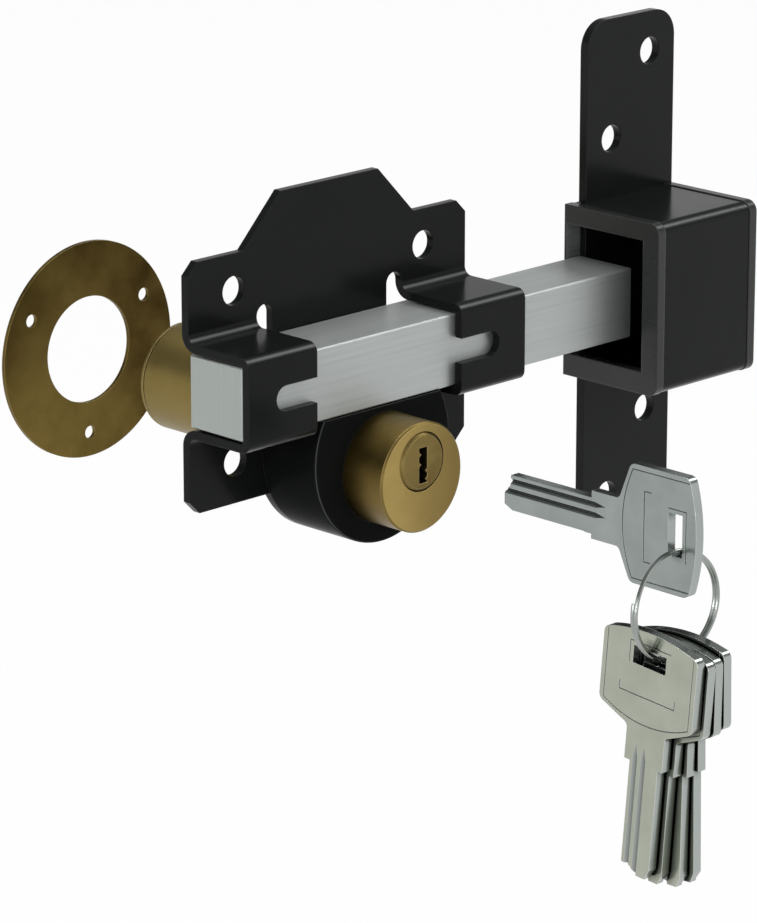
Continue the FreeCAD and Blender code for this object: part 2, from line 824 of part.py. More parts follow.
def key_outline():
    points = [(tip_slope_len + tip_slope_run, blade_top), (tip_slope_len, tip_slope_top), (0, tip_step),
              (0, tip_low), (tip_chamfer_len, blade_bottom), (blade_len, blade_bottom),
              (blade_len, shoulder_bottom), (bow_start, shoulder_bottom), (bow_corner_u, bow_mid - bow_half),
              (bow_end_u, bow_mid - bow_half)]
    after = [(bow_end_u, bow_mid + bow_half), (bow_corner_u, bow_mid + bow_half), (bow_start, shoulder_top),
             (blade_len, shoulder_top), (blade_len, blade_top), points[0]]
    low = [Vector(-key_t / 2, -u, w) for u, w in points]
    high = [Vector(-key_t / 2, -u, w) for u, w in after]
    crown = Part.Arc(low[-1], Vector(-key_t / 2, -key_len, bow_mid), high[0]).toShape()
    edges = Part.makePolygon(low).Edges + [crown] + Part.makePolygon(high).Edges
    return Part.Face(Part.Wire(edges)).extrude(Vector(key_t, 0, 0))


def corner_edges(shape, places):
    found = []
    for edge in shape.Edges:
        ends = [v.Point for v in edge.Vertexes]
        if len(ends) != 2 or abs(abs(ends[0].x - ends[1].x) - key_t) > 1e-6:
            continue
        for u, w in places:
            if abs(ends[0].y + u) < 1e-4 and abs(ends[0].z - w) < 1e-4:
                found.append(edge)
    return found


def key_groove(side, level):
    """V groove along one face of the blade, running out to a point."""
    face_x = side * key_t / 2
    over = 1.0
    slope = groove_half / groove_deep
    end = groove_end_u - groove_run_out
    lip = [Vector(face_x + side * over, over, level + groove_half + over * slope),
           Vector(face_x - side * groove_deep, over, level),
           Vector(face_x + side * over, over, level - groove_half - over * slope)]
    start = Part.makePolygon(lip + lip[:1])
    trough = Part.Face(start).extrude(Vector(0, -over - end, 0))
    moved = start.copy()
    moved.translate(Vector(0, -over - end, 0))
    rise = (groove_deep + over) / groove_deep
    far = Part.Vertex(Vector(face_x + side * over, -end - groove_run_out * rise, level))
    return trough.fuse(Part.makeLoft([moved, far], True))


def on_bow(u, w):
    return Vector(-key_t / 2, -u, w)


def bow_lines():
    """Centre lines of the shallow cuts on the bow: its border, a corner by the hole, a number panel."""
    side = bow_half - border_inset
    low = bow_mid - side
    high = bow_mid + side
    start = bow_corner_u + border_run_in
    belly = Part.Arc(on_bow(start, high), on_bow(border_belly_u, bow_mid), on_bow(start, low)).toShape()
    border = [Part.makeLine(on_bow(bow_end_u, high), on_bow(start, high)), belly,
              Part.makeLine(on_bow(start, low), on_bow(bow_end_u, low))]
    reach = bow_hole_len / 2 + corner_gap
    far = bow_hole_u + bow_hole_w + corner_gap
    corner = Part.makePolygon([on_bow(bow_hole_u, bow_mid + reach), on_bow(far, bow_mid + reach),
                               on_bow(far, bow_mid - reach)])
    half = panel_len / 2
    panel = Part.makePolygon([on_bow(panel_u + panel_w, bow_mid + half), on_bow(panel_u, bow_mid + half),
                              on_bow(panel_u, bow_mid - half), on_bow(panel_u + panel_w, bow_mid - half)])
    return border + corner.Edges + panel.Edges


def engraving(line):
    """Shallow cut of even width that follows one line or arc of the bow."""
    half = engrave_w / 2
    depth = Vector(engrave_deep * 2, 0, 0)
    if isinstance(line.Curve, Part.Line):
        a, b = [v.Point for v in line.Vertexes]
        along = (b - a).normalize()
        across = Vector(0, -along.z, along.y) * half
        start = a - along * half - depth / 2
        end = b + along * half - depth / 2
        corners = [start - across, end - across, end + across, start + across]
        return Part.Face(Part.makePolygon(corners + corners[:1])).extrude(depth)
    rails = []
    for r in (line.Curve.Radius - half, line.Curve.Radius + half):
        rail = Part.Circle(line.Curve.Center - depth / 2, line.Curve.Axis, r)
        rail.XAxis = line.Curve.XAxis
        rails.append(rail.toShape(line.FirstParameter, line.LastParameter))
    ends = [Part.makeLine(rails[0].Vertexes[i].Point, rails[1].Vertexes[i].Point) for i in (0, 1)]
    return Part.Face(Part.Wire(Part.sortEdges(rails + ends)[0])).extrude(depth)


def key_blank():
    """Uncut key with its tip at the origin, its bow towards -Y and its bitting edge down."""
    key = key_outline()
    corners = [(u, bow_mid + side * bow_half) for u in (bow_corner_u, bow_end_u) for side in (-1, 1)]
    key = key.makeFillet(bow_corner_r, corner_edges(key, corners))
    necks = [(bow_start, shoulder_bottom), (bow_start, shoulder_top)]
    key = key.makeFillet(neck_r, corner_edges(key, necks))
    half = bow_hole_len / 2
    hole = box(-key_t, key_t, -bow_hole_u, -bow_hole_u - bow_hole_w,
               bow_mid - half, bow_mid + half)
    key = key.cut(hole)
    for line in bow_lines():
        key = key.cut(engraving(line))
    for level in groove_near:
        key = key.cut(key_groove(-1, level))
    for level in groove_far:
        key = key.cut(key_groove(1, level))
    return key


def main_key():
    key = key_blank()
    key.translate(Vector(0, key_tip_y, key_z))
    return key


def ring_point(angle, y):
    a = math.radians(angle)
    return Vector(ring_x + ring_mean_r * math.cos(a), y, ring_z + ring_mean_r * math.sin(a))


def key_ring():
    """Split ring of flat wire: one turn behind, a step across, and one turn in front."""
    side = (ring_wire_axial + ring_turn_gap) / 2
    rear = key_ring_y + side
    front = key_ring_y - side
    a0 = ring_end_angle
    a1 = a0 + 360 - ring_step_angle
    a2 = a0 + 360
    a3 = a2 + 360 - ring_step_angle
    edges = []
    for start, end, y in ((a0, a1, rear), (a2, a3, front)):
        mid = (start + end) / 2
        edges.append(Part.Arc(ring_point(start, y), ring_point((start + mid) / 2, y),
                              ring_point(mid, y)).toShape())
        edges.append(Part.Arc(ring_point(mid, y), ring_point((mid + end) / 2, y),
                              ring_point(end, y)).toShape())
    count = 6
    points = []
    for i in range(count + 1):
        s = i / count
        ease = s * s * (3 - 2 * s)
        points.append(ring_point(a1 + ring_step_angle * s, rear + (front - rear) * ease))
    along = [Vector(-math.sin(math.radians(a)), 0, math.cos(math.radians(a))) for a in (a1, a2)]
    step = Part.BSplineCurve()
    step.interpolate(Points=points, InitialTangent=along[0] * 8, FinalTangent=along[1] * 8)
    path = Part.Wire(edges[:2] + [step.toShape()] + edges[2:])
    r = ring_wire_radial / 2
    h = ring_wire_axial / 2
    c = ring_edge
    centre = ring_point(a0, rear)
    out = Vector(math.cos(math.radians(a0)), 0, math.sin(math.radians(a0)))
    shape = [(r, h - c), (r - c, h), (c - r, h), (-r, h - c)]
    shape += [(-u, -v) for u, v in shape]
    corners = [centre + out * a + Vector(0, b, 0) for a, b in shape]
    profile = Part.makePolygon(corners + corners[:1])
    sweep = Part.BRepOffsetAPI.MakePipeShell(path)
    sweep.setBiNormalMode(Vector(0, 1, 0))
    sweep.add(profile)
    sweep.build()
    sweep.makeSolid()
    ring = sweep.shape()
    ring.rotate(Vector(ring_x, key_ring_y, ring_z), Vector(0, 0, 1), -ring_turn)
    return ring


def spare_key(index):
    """A key hung on the ring with its blade down, tilted about the wire."""
    x = spare_first_x + index * spare_pitch
    reach = abs(x - ring_x) + key_t / 2
    wire_top = ring_z - math.sqrt(ring_inner_r ** 2 - reach ** 2)
    pivot_z = ring_z - math.sqrt(ring_mean_r ** 2 - (x - ring_x) ** 2)
    key = key_blank()
    key.rotate(Vector(0, 0, 0), Vector(1, 0, 0), -90)
    hole_top = bow_hole_u + bow_hole_w
    side = key_ring_y + spare_offsets_y[index]
    key.translate(Vector(x, side, wire_top + spare_seat_gap - hole_top))
    key.rotate(Vector(x, key_ring_y, pivot_z), Vector(1, 0, 0), spare_tilts[index])
    return key


nodes = {
    "lock_plate": lock_plate,
    "lock_bolt": lock_bolt,
    "gear_casing": casing,
    "drive_gear": drive_gear,
    "idler_gear": idler_gear,
    "idler_stud": idler_stud,
    "bolt_stop_pin": stop_pin,
    "tail_bar": tail_bar,
    "front_cylinder": front_cylinder,
    "front_plug": front_plug,
    "front_plug_clip": plug_clip,
    "front_key_pins": key_pins,
    "front_driver_pins": driver_pins,
    "front_pin_springs": lambda: pin_springs(front_centre_z),
    "rear_cylinder": rear_cylinder,
    "rear_plug": rear_plug,
    "rear_plug_clip": lambda: turned_over(plug_clip()),
    "rear_key_pins": lambda: turned_over(key_pins()),
    "rear_driver_pins": lambda: turned_over(driver_pins()),
    "rear_pin_springs": lambda: turned_over(pin_springs(axis_z - rear_ecc)),
    "casing_screws": casing_screws,
    "front_cylinder_screws": front_cylinder_screws,
    "rear_cylinder_screws": rear_cylinder_screws,
    "cylinder_spacers": cylinder_spacers,
    "escutcheon": escutcheon,
    "keep_strap": keep_strap,
    "keep_box": keep_box,
    "keep_mouth_cap": keep_mouth_cap,
    "keep_end_cap": keep_end_cap,
    "main_key": main_key,
    "key_ring": key_ring,
}
for number in range(len(spare_tilts)):
    nodes["spare_key_%d" % (number + 1)] = lambda i=number: spare_key(i)

os.makedirs("parts", exist_ok=True)
for name, make in nodes.items():
    shape = make()
    print(name, "solids", len(shape.Solids), "valid", shape.isValid(), "volume", round(shape.Volume, 1))
    shape.exportStep("parts/%s.step" % name)
print("bolt travel", round(bolt_travel, 3), "idler", round(idler_x, 3), round(idler_z, 3))
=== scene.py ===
# %% [markdown]
# A long throw rim lock, dressed for its portrait
#
# The construction of the lock arrives as a fixed frame: every plate, bolt, cylinder and key
# already has its real shape and place. What is left for this lesson is the camera, the light
# and the finish of each surface. Before each step a few sentences say what the thing is on the
# real lock, how it could be made in Blender, and why this way was chosen.

import math

import bpy
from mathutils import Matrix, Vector

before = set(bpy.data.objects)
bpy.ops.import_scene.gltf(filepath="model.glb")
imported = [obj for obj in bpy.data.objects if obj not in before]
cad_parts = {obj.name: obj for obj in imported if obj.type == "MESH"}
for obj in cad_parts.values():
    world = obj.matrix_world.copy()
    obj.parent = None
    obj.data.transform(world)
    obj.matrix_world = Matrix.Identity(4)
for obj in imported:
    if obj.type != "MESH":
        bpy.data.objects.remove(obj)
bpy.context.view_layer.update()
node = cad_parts
scene = bpy.context.scene

# %% [markdown]
# The camera
#
# The photograph looks at the lock from its front left, a little from above, through a long
# lens. A camera could be aimed by eye, but then no edge falls quite where it should. Here the
# place, the two turns and the lens come from a fit of the lock's own corners to the picture.
# The lens is given along the long side of the picture, and there is no shift, because the
# other views use this camera too.

# %% Camera
camera_place = Vector((-0.903, -0.9265, 0.3534))
camera_turn = math.radians(-44.915)
camera_dip = math.radians(16.564)
camera_lens = 193.78
sensor_long_side = 36.0

camera_data = bpy.data.cameras.new("portrait_camera")
camera_data.sensor_fit = "AUTO"
camera_data.sensor_width = sensor_long_side
camera_data.lens = camera_lens
camera_data.clip_end = 20.0
camera = bpy.data.objects.new("portrait_camera", camera_data)
camera.location = camera_place
camera.rotation_euler = (math.pi / 2 - camera_dip, 0.0, camera_turn)
scene.collection.objects.link(camera)
scene.camera = camera
scene.view_settings.view_transform = "Standard"
print("camera", tuple(round(v, 3) for v in camera.location), "lens", camera_lens)

# %% [markdown]
# The paper's shape
#
# The lock floats over white paper. A flat floor would end in a horizon, and a straight
# backdrop would hide the lock from behind. So a pale floor runs out all round the lock and
# rises into a low round wall. The mesh is one middle point and rings of points about it,
# worked out from a short profile, so its roundness and height are a few named sizes.

# %% Floor and backdrop
paper_floor_z = -0.24
paper_radius = 6.0
paper_bend_radius = 0.5
paper_bend_steps = 10
paper_top_z = 1.6
paper_sides = 96


def paper_profile():
    """Radius and height of the paper, from the foot of its bend to its top edge."""
    points = []
    for i in range(paper_bend_steps + 1):
        a = math.pi / 2 * i / paper_bend_steps
        points.append((paper_radius - paper_bend_radius + paper_bend_radius * math.sin(a),
                       paper_floor_z + paper_bend_radius - paper_bend_radius * math.cos(a)))
    points.append((paper_radius, paper_top_z))
    return points


def make_sweep():
    profile = paper_profile()
    vertices = [(0.0, 0.0, paper_floor_z)]
    for radius, z in profile:
        for k in range(paper_sides):
            a = 2 * math.pi * k / paper_sides
            vertices.append((radius * math.cos(a), radius * math.sin(a), z))
    faces = []
    for k in range(paper_sides):
        after = (k + 1) % paper_sides
        faces.append((0, 1 + k, 1 + after))
        for ring in range(len(profile) - 1):
            low = 1 + ring * paper_sides
            high = low + paper_sides
            faces.append((low + k, high + k, high + after, low + after))
    mesh = bpy.data.meshes.new("paper_sweep")
    mesh.from_pydata(vertices, [], faces)
    mesh.update()
    for face in mesh.polygons:
        face.use_smooth = True
    thing = bpy.data.objects.new("paper_sweep", mesh)
    scene.collection.objects.link(thing)
    return thing


sweep = make_sweep()
print("sweep", len(sweep.data.polygons), "faces")

# %% [markdown]
# Small steps for node trees
#
# Every material below is a tree of nodes, and a tree written out line by line repeats the
# same few moves: make a node, set its values, link its sockets. These helpers each make one
# kind of node and give back its output, so that a finish reads like a short recipe. Wherever
# they take a value, they also take a socket to be linked there.

# %% Node helpers
# A Mix node has a set of sockets for each kind: the places of its two inputs and its output.
mix_places = {"FLOAT": (2, 3, 0), "VECTOR": (4, 5, 1), "RGBA": (6, 7, 2)}


def feed(tree, socket, value):
    """Link another node's output to a socket, or set it. A colour comes without its alpha."""
    if isinstance(value, bpy.types.NodeSocket):
        tree.links.new(value, socket)
    elif socket.type == "RGBA":
        socket.default_value = (*value, 1.0)
    else:
        socket.default_value = value


def math_node(tree, operation, *values):
    step = tree.nodes.new("ShaderNodeMath")
    step.operation = operation
    for socket, value in zip(step.inputs, values):
        feed(tree, socket, value)
    return step.outputs[0]


def times(tree, a, b):
    return math_node(tree, "MULTIPLY", a, b)


def clamped(tree, value):
    step = tree.nodes.new("ShaderNodeClamp")
    feed(tree, step.inputs["Value"], value)
    return step.outputs[0]


def spread(tree, value, low, high):
    """Map a 0 to 1 value onto low to high."""
    step = tree.nodes.new("ShaderNodeMapRange")
    feed(tree, step.inputs["Value"], value)
    feed(tree, step.inputs["To Min"], low)
    feed(tree, step.inputs["To Max"], high)
    return step.outputs["Result"]


def mixed(tree, kind, factor, a, b):
    """A Mix node for a FLOAT, a VECTOR or an RGBA colour."""
    step = tree.nodes.new("ShaderNodeMix")
    step.data_type = kind
    place_a, place_b, result = mix_places[kind]
    for place, value in ((0, factor), (place_a, a), (place_b, b)):
        feed(tree, step.inputs[place], value)
    return step.outputs[result]


def mixed_colour(tree, factor, a, b):
    return mixed(tree, "RGBA", factor, a, b)


def mixed_shader(tree, factor, a, b):
    step = tree.nodes.new("ShaderNodeMixShader")
    for socket, value in zip(step.inputs, (factor, a, b)):
        feed(tree, socket, value)
    return step.outputs[0]


def noise(tree, vector, scale, detail, roughness=0.5):
    step = tree.nodes.new("ShaderNodeTexNoise")
    feed(tree, step.inputs["Vector"], vector)
    feed(tree, step.inputs["Scale"], scale)
    feed(tree, step.inputs["Detail"], detail)
    feed(tree, step.inputs["Roughness"], roughness)
    return step.outputs["Fac"]


def split_xyz(tree, vector):
    step = tree.nodes.new("ShaderNodeSeparateXYZ")
    feed(tree, step.inputs[0], vector)
    return step.outputs


print("node helpers ready")

# %% [markdown]
# The paper's finish
#
# Overexposed paper is white, but strong light on it would spill onto the lock. So the paper
# glows, and only for rays that come from the camera, from a reflection or through glass. It
# still takes a little of the lock's shadow, because a small share stays a plain diffuse
# shader. Its outer side is clear, so a camera beyond it or under it still sees the lock.

# %% White paper
paper_grey = (0.80, 0.81, 0.80)
paper_white = (1.0, 1.0, 1.0)
paper_glow_share = 0.96


def paper_finish():
    material = bpy.data.materials.new("paper_sweep")
    material.use_nodes = True
    tree = material.node_tree
    tree.nodes.clear()
    out = tree.nodes.new("ShaderNodeOutputMaterial")
    diffuse = tree.nodes.new("ShaderNodeBsdfDiffuse")
    feed(tree, diffuse.inputs["Color"], paper_grey)
    glow = tree.nodes.new("ShaderNodeEmission")
    feed(tree, glow.inputs["Color"], paper_white)
    path = tree.nodes.new("ShaderNodeLightPath").outputs
    looked_at = math_node(tree, "MAXIMUM", path["Is Camera Ray"], path["Is Glossy Ray"])
    looked_at = math_node(tree, "MAXIMUM", looked_at, path["Is Transmission Ray"])
    inner = mixed_shader(tree, times(tree, looked_at, paper_glow_share), diffuse.outputs[0], glow.outputs[0])
    outside = tree.nodes.new("ShaderNodeNewGeometry").outputs["Backfacing"]
    clear = tree.nodes.new("ShaderNodeBsdfTransparent").outputs[0]
    feed(tree, out.inputs["Surface"], mixed_shader(tree, outside, inner, clear))
    return material


sweep.data.materials.append(paper_finish())
print("sweep wears", sweep.data.materials[0].name)

# %% [markdown]
# The light
#
# Black enamel and bare metal show their lamps as reflections, so the lamps are large and
# soft, and the world gives a plain grey from all round. Three windows stand to the left, in
# front and above. Two smaller lamps do one job each: the bend strip, high on the right, draws
# the bright line along bends, and the rim strip lights the lower edges from the left.

# %% World and lamps
world_grey = (0.50, 0.52, 0.51)
world_strength = 0.55
lamp_table = [
    # name, place, width and height, watts
    ("left_window", (-1.6, -0.5, 1.1), (1.2, 1.4), 14.0),
    ("front_window", (0.6, -1.8, 0.8), (1.4, 1.0), 10.0),
    ("top_window", (0.1, 0.2, 1.6), (1.2, 1.2), 16.0),
    ("bend_strip", (1.07, -0.43, 1.10), (0.5, 0.5), 4.0),
    ("rim_strip", (-1.05, -1.02, -0.16), (0.12, 0.30), 0.9),
]

world = bpy.data.worlds.new("studio")
world.use_nodes = True
background = world.node_tree.nodes["Background"]
feed(world.node_tree, background.inputs["Color"], world_grey)
background.inputs["Strength"].default_value = world_strength
scene.world = world


def area_lamp(name, place, size, watts):
    """A rectangular lamp that is aimed at the origin, the middle of the lock's plate."""
    data = bpy.data.lights.new(name, "AREA")
    data.shape = "RECTANGLE"
    data.size, data.size_y = size
    data.energy = watts
    lamp = bpy.data.objects.new(name, data)
    lamp.location = place
    lamp.rotation_euler = (-Vector(place)).to_track_quat("-Z", "Y").to_euler()
    scene.collection.objects.link(lamp)
    return lamp


print("lamps", [area_lamp(*row).name for row in lamp_table])

# %% [markdown]
# Shared effects as node groups
#
# Four effects come back on many surfaces: a cloudy change of tone, a brushed grain, rounded
# edges, worn and on some pieces painted with a highlight, and recesses that hold dirt and painted shade.
# Each could be built
# anew in every material. Instead each is one group with named sockets, built once, and every
# finish places it with values of its own. The groups put out only masks, heights and
# normals. The shader itself stays in the material.

# %% Start a group


def new_group(name, inputs, outputs):
    """A group with its sockets. An input is a name, a kind and a value, an output a name and a kind."""
    group = bpy.data.node_groups.new(name, "ShaderNodeTree")
    for label, kind, value in inputs:
        socket = group.interface.new_socket(name=label, in_out="INPUT", socket_type="NodeSocket" + kind)
        if value is not None:
            socket.default_value = value
    for label, kind in outputs:
        group.interface.new_socket(name=label, in_out="OUTPUT", socket_type="NodeSocket" + kind)
    start = group.nodes.new("NodeGroupInput")
    end = group.nodes.new("NodeGroupOutput")
    return group, start.outputs, end.inputs


print("group helper ready")

# %% [markdown]
# Cloudy tone
#
# No painted or handled metal has quite the same tone all over. A noise texture gives the
# patches. Its scale is one over the patch size, so a finish can say how large its patches
# are in metres, and Contrast says how strongly they differ.

# %% Cloudy tone


def cloudy_group():
    group, start, end = new_group(
        "cloudy_tone",
        [("Vector", "Vector", None), ("Patch Size", "Float", 0.02), ("Contrast", "Float", 1.0)],
        [("Tone", "Float")])
    scale = math_node(group, "DIVIDE", 1.0, start["Patch Size"])
    patches = noise(group, start["Vector"], scale, detail=5.0, roughness=0.55)
    centred = math_node(group, "SUBTRACT", patches, 0.5)
    tone = math_node(group, "ADD", times(group, centred, start["Contrast"]), 0.5)
    feed(group, end["Tone"], clamped(group, tone))
    return group


cloudy = cloudy_group()
print(cloudy.name, "has", len(cloudy.nodes), "nodes")

# %% [markdown]
# Brushed grain
#
# A brush leaves fine parallel scratches. They are noise whose coordinates are multiplied
# much more across the brush than along it, so every speck is drawn out into a line. A fine
# noise and a broad one are added, because real brushing has both.

# %% Brushed grain
fine_scale, broad_scale = 1.0, 0.22


def grain_group():
    group, start, end = new_group(
        "brushed_grain",
        [("Vector", "Vector", None), ("Stretch", "Vector", (60.0, 5000.0, 5000.0))],
        [("Tone", "Float"), ("Height", "Float")])
    drawn = group.nodes.new("ShaderNodeVectorMath")
    drawn.operation = "MULTIPLY"
    feed(group, drawn.inputs[0], start["Vector"])
    feed(group, drawn.inputs[1], start["Stretch"])
    fine = noise(group, drawn.outputs[0], fine_scale, detail=3.0)
    broad = noise(group, drawn.outputs[0], broad_scale, detail=2.0)
    feed(group, end["Tone"], times(group, math_node(group, "ADD", fine, broad), 0.5))
    feed(group, end["Height"], fine)
    return group


brushed = grain_group()
print(brushed.name, "has", len(brushed.nodes), "nodes")

# %% [markdown]
# Rounded edges, with wear and painted highlight
#
# Every real edge is a little round, and it is where paint thins and metal shines. Cutting a
# fillet on each edge would cost many faces. The Bevel node rounds only the shading, and
# where it turns the normal away from the flat one there must be an edge, which gives the
# mask for the wear as well, and on the casing, bolt and brass for a painted highlight.

# %% Rounded edges, with wear and painted highlight


def edge_group():
    group, start, end = new_group(
        "round_edge_mask",
        [("Radius", "Float", 0.0004), ("Sharpness", "Float", 6.0)],
        [("Mask", "Float"), ("Normal", "Vector")])
    bevel = group.nodes.new("ShaderNodeBevel")
    bevel.samples = 6
    feed(group, bevel.inputs["Radius"], start["Radius"])
    same = group.nodes.new("ShaderNodeVectorMath")
    same.operation = "DOT_PRODUCT"
    feed(group, same.inputs[0], bevel.outputs["Normal"])
    feed(group, same.inputs[1], group.nodes.new("ShaderNodeNewGeometry").outputs["Normal"])
    turned = math_node(group, "SUBTRACT", 1.0, same.outputs["Value"])
    feed(group, end["Mask"], clamped(group, times(group, turned, start["Sharpness"])))
    feed(group, end["Normal"], bevel.outputs["Normal"])
    return group


round_edges = edge_group()
print(round_edges.name, "has", len(round_edges.nodes), "nodes")

# %% [markdown]
# Dark recesses: dirt and painted shade
#
# Grooves and engraved lines hold polish and dirt, and the gaps between stacked keys see
# almost no light. The Ambient Occlusion node tells how much of the near surroundings a
# point sees, so one minus that is a mask for whatever lies deep. The colour laid on it is
# partly dirt in lines and grooves and partly painted shade, all of it in the gaps between keys.

# %% Dark recesses: dirt and painted shade


def recess_dirt_and_shade_group():
    group, start, end = new_group(
        "recess_dirt_and_shade",
        [("Distance", "Float", 0.0008), ("Contrast", "Float", 2.0)],
        [("Mask", "Float")])
    open_sky = group.nodes.new("ShaderNodeAmbientOcclusion")
    open_sky.samples = 8
    feed(group, open_sky.inputs["Distance"], start["Distance"])
    hidden = math_node(group, "SUBTRACT", 1.0, open_sky.outputs["AO"])
    feed(group, end["Mask"], clamped(group, times(group, hidden, start["Contrast"])))
    return group


recess = recess_dirt_and_shade_group()
print(recess.name, "has", len(recess.nodes), "nodes")

# %% [markdown]
# How a finish begins and ends
#
# All finishes start alike, with a Principled shader and the object's own coordinates, which
# move with the piece at every pose. They also end alike, with a colour, a roughness and a
# normal. These helpers hold both ends, so each recipe shows only what is its own. Finishes
# go into a table by name, to be handed to the pieces at the end.

# %% Finish helpers
finishes = {}


def start_finish(name):
    """A new material in the table: its tree, its Principled shader and its object coordinates."""
    material = bpy.data.materials.new(name)
    material.use_nodes = True
    finishes[name] = material
    tree = material.node_tree
    place = tree.nodes.new("ShaderNodeTexCoord").outputs["Object"]
    return tree, tree.nodes["Principled BSDF"].inputs, place


def end_finish(tree, shader, colour, roughness, normal, metallic=0.0):
    feed(tree, shader["Base Color"], colour)
    feed(tree, shader["Roughness"], roughness)
    feed(tree, shader["Normal"], normal)
    shader["Metallic"].default_value = metallic


def place_group(tree, group, **values):
    """Put a group into a material's tree and feed its named inputs, patch_size for Patch Size."""
    step = tree.nodes.new("ShaderNodeGroup")
    step.node_tree = group
    for label, value in values.items():
        feed(tree, step.inputs[label.replace("_", " ").title()], value)
    return step.outputs


def cloud_tone(tree, place, patch_size, contrast=1.0):
    return place_group(tree, cloudy, vector=place, patch_size=patch_size, contrast=contrast)["Tone"]


def round_edge(tree, radius, sharpness, edge_share):
    """The mask of an edge, as much of it as edge_share says, and its rounded normal."""
    edge = place_group(tree, round_edges, radius=radius, sharpness=sharpness)
    return times(tree, edge["Mask"], edge_share), edge["Normal"]


def bump(tree, height, strength, distance, normal=None):
    step = tree.nodes.new("ShaderNodeBump")
    step.inputs["Strength"].default_value = strength
    step.inputs["Distance"].default_value = distance
    feed(tree, step.inputs["Height"], height)
    if normal is not None:
        feed(tree, step.inputs["Normal"], normal)
    return step.outputs["Normal"]


def facing(tree, source, axis):
    """One part of a normal: of the smooth or true one in the world, or of the object's own."""
    kind = "ShaderNodeTexCoord" if source == "object" else "ShaderNodeNewGeometry"
    label = {"object": "Normal", "smooth": "Normal", "true": "True Normal"}[source]
    return split_xyz(tree, tree.nodes.new(kind).outputs[label])[axis]


face_on = 0.9       # a surface looks along an axis where that part of its normal is over this
print("finish helpers ready")

# %% [markdown]
# Black enamel
#
# The plate, the casing, the strap and the box are pressed steel under a satin black enamel.
# Its colour hardly changes, so its character is in the gloss: a very faint orange peel and a
# cloudy roughness. Bends get a line of painted highlight in the colour. A bend is found without any
# texture: along its middle the normal is halfway between two faces, and a product of its
# parts peaks there. The gloss is the shader's specular level, and the casing, which sits in
# the shade of the bolt, has hardly any.

# %% Black enamel
enamel_deep = (0.0064, 0.0072, 0.0068)
enamel_pale = (0.0096, 0.0106, 0.0101)
enamel_bend_highlight = (0.13, 0.135, 0.132)
edge_green = 1.04   # a worn edge is a touch green, as the enamel is
bend_highlight_share = 0.65
bend_peak = 4.0     # brings the product to 1 where forward and sideways are both a half
bend_narrowness = 6.0


def bend_highlight_mask(tree):
    """1 along the middle of a bend or rounded rim that turns away from the front, where a highlight is
    painted.
    """
    y = facing(tree, "smooth", "Y")
    forward = times(tree, y, y)
    sideways = math_node(tree, "SUBTRACT", 1.0, forward)
    halfway = times(tree, times(tree, forward, sideways), bend_peak)
    return math_node(tree, "POWER", halfway, bend_narrowness)


def enamel(name, gloss, edge_tone_and_highlight=0.036):
    tree, shader, place = start_finish(name)
    cloud = cloud_tone(tree, place, patch_size=0.03, contrast=1.6)
    edge_mask, rounded = round_edge(tree, radius=0.0005, sharpness=5.0, edge_share=0.5)
    colour = mixed_colour(tree, cloud, enamel_deep, enamel_pale)
    # Edges take a lighter tone: worn paint, and on the casing a painted highlight.
    colour = mixed_colour(tree, edge_mask, colour, (edge_tone_and_highlight, edge_tone_and_highlight * edge_green, edge_tone_and_highlight))
    # Painted highlight: a light line mixed into the colour along bends and rounded rims.
    colour = mixed_colour(tree, times(tree, bend_highlight_mask(tree), bend_highlight_share), colour, enamel_bend_highlight)
    peel = cloud_tone(tree, place, patch_size=0.0009)
    normal = bump(tree, peel, strength=0.10, distance=0.00003, normal=rounded)
    shader["Specular IOR Level"].default_value = gloss
    end_finish(tree, shader, colour, spread(tree, cloud, low=0.15, high=0.25), normal)


enamel("lock_enamel", gloss=0.09)
# The casing's edges take a far lighter tone: a painted highlight along its rim, as its enamel has hardly any
# gloss.
enamel("casing_enamel", gloss=0.006, edge_tone_and_highlight=0.16)
enamel("strap_enamel", gloss=0.12)
enamel("box_enamel", gloss=0.12)
print("finishes", list(finishes))

# %% [markdown]
# Moulded caps
#
# The mouth and the end of the keep's box are closed by moulded caps. They are a touch
# greyer than the enamel, with the fine even grain of a tool. The mouth's thin rear wall
# carries a streaked painted reflection of the bolt, with a mask of its own: near the back
# of the keep, and looking to the front.

# %% Moulded black
mouth_wall = 0.0012
mould_gloss = 0.4
mould_deep = (0.0130, 0.0138, 0.0135)
mould_pale = (0.0180, 0.0190, 0.0185)
mould_edge = (0.050, 0.053, 0.052)
reflection_dark = (0.05, 0.055, 0.052)
reflection_bright = (0.34, 0.35, 0.345)


def reflection_wall_mask(tree, place):
    """1 on the thin rear wall of the mouth, where it looks to the front: where the bolt's reflection is
    painted.
    """
    at_back = math_node(tree, "GREATER_THAN", split_xyz(tree, place)["Y"], -mouth_wall)
    to_front = math_node(tree, "LESS_THAN", facing(tree, "true", "Y"), -face_on)
    return times(tree, at_back, to_front)


